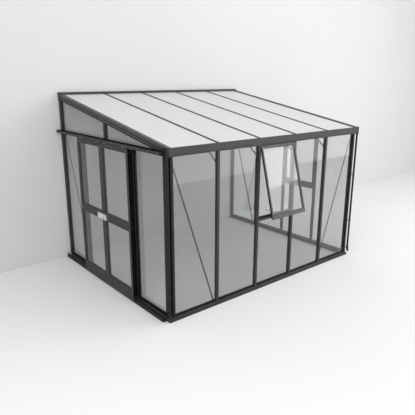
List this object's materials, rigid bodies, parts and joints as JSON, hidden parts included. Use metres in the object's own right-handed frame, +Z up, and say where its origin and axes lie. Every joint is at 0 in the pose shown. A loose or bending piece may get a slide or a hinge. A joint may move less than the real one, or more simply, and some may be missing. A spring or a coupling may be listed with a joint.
{
  "type": "lean-to greenhouse",
  "caption": "Lean-to greenhouse with glazed walls, opal sloping roof, double sliding door, opening windows, gutter and downpipes.",
  "frame": {"origin": "middle of the front base sill's underside, on the ground, in the front wall's grid plane", "axes": "+X along the front wall to the right, +Y towards the house wall, +Z up"},
  "size_m": [3.9201, 3.246, 2.768],
  "materials": {
    "frame": "satin powder coat",
    "glass": "clear, slightly grey",
    "opal": "opal",
    "pipe": "black",
    "seal": "matt",
    "nylon": "natural",
    "steel": "zinc",
    "lock": "satin"
  },
  "bodies": {
    "frame": {"base_sill_far": "frame", "base_sill_front": "frame", "base_sill_near": "frame", "corner_post_left": "frame", "corner_post_right": "frame", "door_floor_track": "frame", "door_hood": "frame", "door_jambs": "frame", "downpipes": "pipe", "eave_gutter": "frame", "far_bars": "frame", "far_glass": "glass", "far_window_head": "frame", "far_window_rail": "frame", "front_bars": "frame", "front_glass": "glass", "front_window_head": "frame", "front_window_rail": "frame", "gable_glass": "glass", "gable_header_far": "frame", "gable_header_near": "frame", "gable_rafter_far": "frame", "gable_rafter_near": "frame", "gable_studs": "frame", "gutter_ends": "pipe", "knee_braces": "frame", "near_glass": "glass", "pipe_clips": "pipe", "rafter_1": "frame", "rafter_2": "frame", "rafter_3": "frame", "rafter_4": "frame", "rail_stops": "seal", "ridge_seals": "seal", "roof_sheets": "opal", "wall_plate": "frame", "wall_post_far": "frame", "wall_post_near": "frame", "wind_braces": "frame", "window_jambs": "frame"},
    "leaf_wall": {"door_frame_wall": "frame", "door_glass_wall": "glass", "hangers_wall": "steel", "lock_case": "lock"},
    "leaf_front": {"door_frame_front": "frame", "door_glass_front": "glass", "hangers_front": "steel", "lock_keeper": "lock"},
    "wheel_wall_1": {"roller_wall_1": "nylon"},
    "wheel_wall_2": {"roller_wall_2": "nylon"},
    "wheel_front_1": {"roller_front_1": "nylon"},
    "wheel_front_2": {"roller_front_2": "nylon"},
    "turn": {"thumb_turn": "lock"},
    "bolt": {"lock_bolt": "steel"},
    "window_front": {"front_sash": "frame", "front_sash_glass": "glass"},
    "window_far": {"far_sash": "frame", "far_sash_glass": "glass"},
    "stay_front": {"front_stay": "frame"},
    "stay_far": {"far_stay": "frame"}
  },
  "joints": [
    {"name": "door_slide_wall", "type": "slide", "parent": "frame", "child": "leaf_wall", "axis": [0, 1, 0], "range_m": [0, 0.69]},
    {"name": "door_slide_front", "type": "slide", "parent": "frame", "child": "leaf_front", "axis": [0, -1, 0], "range_m": [0, 0.69]},
    {"name": "roll_wall_1", "type": "hinge", "parent": "leaf_wall", "child": "wheel_wall_1", "pos_m": [-1.95, 1.5825, 2.159], "axis": [-1, 0, 0], "range_deg": [0, 3295]},
    {"name": "roll_wall_2", "type": "hinge", "parent": "leaf_wall", "child": "wheel_wall_2", "pos_m": [-1.95, 2.0955, 2.159], "axis": [-1, 0, 0], "range_deg": [0, 3295]},
    {"name": "roll_front_1", "type": "hinge", "parent": "leaf_front", "child": "wheel_front_1", "pos_m": [-1.95, 1.3575, 2.159], "axis": [1, 0, 0], "range_deg": [0, 3295]},
    {"name": "roll_front_2", "type": "hinge", "parent": "leaf_front", "child": "wheel_front_2", "pos_m": [-1.95, 0.8445, 2.159], "axis": [1, 0, 0], "range_deg": [0, 3295]},
    {"name": "thumb_turn", "type": "hinge", "parent": "leaf_wall", "child": "turn", "pos_m": [-1.9815, 1.532, 1.0715], "axis": [-1, 0, 0], "range_deg": [0, 90]},
    {"name": "bolt_slide", "type": "slide", "parent": "leaf_wall", "child": "bolt", "axis": [0, -1, 0], "range_m": [0, 0.018]},
    {"name": "window_front_hinge", "type": "hinge", "parent": "frame", "child": "window_front", "pos_m": [0, -0.026, 2.108], "axis": [-1, 0, 0], "range_deg": [-15, 5]},
    {"name": "stay_front_pivot", "type": "hinge", "parent": "window_front", "child": "stay_front", "pos_m": [0, -0.2557, 1.14255], "axis": [-1, 0, 0], "range_deg": [-3, 8]},
    {"name": "window_far_hinge", "type": "hinge", "parent": "frame", "child": "window_far", "pos_m": [1.8885, 1.1025, 2.108], "axis": [0, -1, 0], "range_deg": [0, 20]},
    {"name": "stay_far_pivot", "type": "hinge", "parent": "window_far", "child": "stay_far", "pos_m": [1.8605, 1.1025, 1.116], "axis": [0, -1, 0], "range_deg": [-11, 0]}
  ],
  "couplings": [
    {"joint": "roll_wall_1", "follows": "door_slide_wall", "rad_per_m": 83.333},
    {"joint": "roll_wall_2", "follows": "door_slide_wall", "rad_per_m": 83.333},
    {"joint": "roll_front_1", "follows": "door_slide_front", "rad_per_m": 83.333},
    {"joint": "roll_front_2", "follows": "door_slide_front", "rad_per_m": 83.333},
    {"joint": "bolt_slide", "follows": "thumb_turn", "m_per_rad": 0.011458},
    {"joint": "stay_front_pivot", "follows": "window_front_hinge", "ratio": -0.5},
    {"joint": "stay_far_pivot", "follows": "window_far_hinge", "ratio": -0.5}
  ]
}
